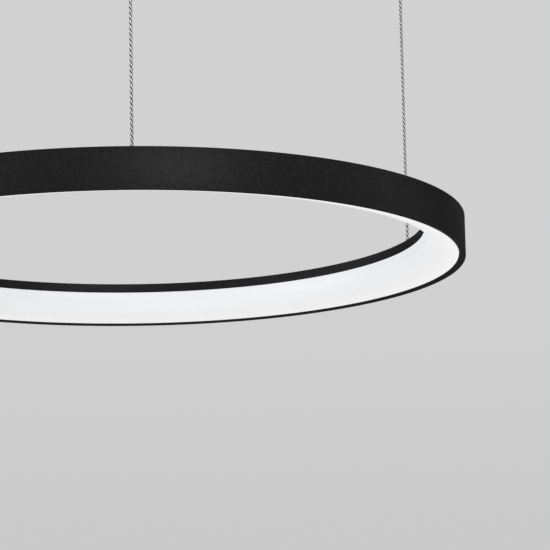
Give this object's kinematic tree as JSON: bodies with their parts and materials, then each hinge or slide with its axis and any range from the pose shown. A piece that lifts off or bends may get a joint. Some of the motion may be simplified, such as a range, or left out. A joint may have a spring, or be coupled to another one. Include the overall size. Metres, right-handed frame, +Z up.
{
  "type": "led ring chandelier",
  "caption": "Slim black ring pendant light with an opal diffuser round its inner underside, hung on twisted steel cables from small ceiling cups.",
  "frame": {"origin": "where the ring's axis meets the ceiling plane that the three ceiling bases are screwed to", "axes": "+Z up, square to the ring; -Y towards the front cable, the one nearest the viewer; +X to the viewer's right"},
  "size_m": [0.6, 0.6104, 0.33],
  "materials": {
    "black_powder_coat": "fine sand-texture black powder coat on extruded aluminium",
    "black_cup": "fine sand-texture black powder coat on spun aluminium",
    "opal_plastic": "matt opal extruded plastic",
    "steel_cable": "bright twisted steel wire",
    "spring_steel": "bright spring steel",
    "nickel_brass": "satin nickel plate on turned brass",
    "zinc_steel": "zinc plated steel",
    "strip_board": "white solder mask on flexible circuit",
    "chip_phosphor": "yellow phosphor in white housing",
    "black_nylon": "moulded black nylon",
    "ivory_plastic": "moulded ivory plastic",
    "lead_sleeve": "extruded wire insulation"
  },
  "bodies": {
    "root": {"ceiling_bases": "zinc_steel", "gripper_bodies": "nickel_brass", "gripper_spring_front": "spring_steel", "cable_front": "steel_cable", "gripper_spring_right": "spring_steel", "cable_right": "steel_cable", "gripper_spring_left": "spring_steel", "cable_left": "steel_cable"},
    "ring": {"profile_front": "black_powder_coat", "profile_rear": "black_powder_coat", "diffuser_front": "opal_plastic", "diffuser_rear": "opal_plastic", "light_strip_front": "strip_board", "light_strip_rear": "strip_board", "light_chips_front": "chip_phosphor", "light_chips_rear": "chip_phosphor", "joiners": "zinc_steel", "joiner_screws": "zinc_steel", "inlet_gland": "black_nylon", "gland_nut": "zinc_steel", "terminal_block": "ivory_plastic", "terminal_screws": "zinc_steel", "strip_leads": "lead_sleeve", "anchor_bushes": "nickel_brass", "anchor_nuts": "zinc_steel", "cable_ferrule_front": "nickel_brass", "cable_ferrule_right": "nickel_brass", "cable_ferrule_left": "nickel_brass"},
    "cup_front": {"ceiling_cup_front": "black_cup", "cup_collar_front": "nickel_brass"},
    "cup_right": {"ceiling_cup_right": "black_cup", "cup_collar_right": "nickel_brass"},
    "cup_left": {"ceiling_cup_left": "black_cup", "cup_collar_left": "nickel_brass"},
    "release_front": {"gripper_sleeve_front": "nickel_brass", "gripper_jaws_front": "spring_steel"},
    "release_right": {"gripper_sleeve_right": "nickel_brass", "gripper_jaws_right": "spring_steel"},
    "release_left": {"gripper_sleeve_left": "nickel_brass", "gripper_jaws_left": "spring_steel"}
  },
  "joints": [
    {"name": "ring_height", "type": "slide", "parent": "root", "child": "ring", "axis": [0, 0, 1], "range_m": [0, 0.18], "deforming": ["cable_front", "cable_right", "cable_left"]},
    {"name": "cup_slide_front", "type": "slide", "parent": "root", "child": "cup_front", "axis": [0, 0, -1], "range_m": [0, 0.03]},
    {"name": "cup_slide_right", "type": "slide", "parent": "root", "child": "cup_right", "axis": [0, 0, -1], "range_m": [0, 0.03]},
    {"name": "cup_slide_left", "type": "slide", "parent": "root", "child": "cup_left", "axis": [0, 0, -1], "range_m": [0, 0.03]},
    {"name": "gripper_release_front", "type": "slide", "parent": "root", "child": "release_front", "axis": [0, 0, 1], "range_m": [0, 0.0025], "stiffness_N_per_m": 300, "springref_m": -0.003, "deforming": ["gripper_spring_front"]},
    {"name": "gripper_release_right", "type": "slide", "parent": "root", "child": "release_right", "axis": [0, 0, 1], "range_m": [0, 0.0025], "stiffness_N_per_m": 300, "springref_m": -0.003, "deforming": ["gripper_spring_right"]},
    {"name": "gripper_release_left", "type": "slide", "parent": "root", "child": "release_left", "axis": [0, 0, 1], "range_m": [0, 0.0025], "stiffness_N_per_m": 300, "springref_m": -0.003, "deforming": ["gripper_spring_left"]}
  ]
}
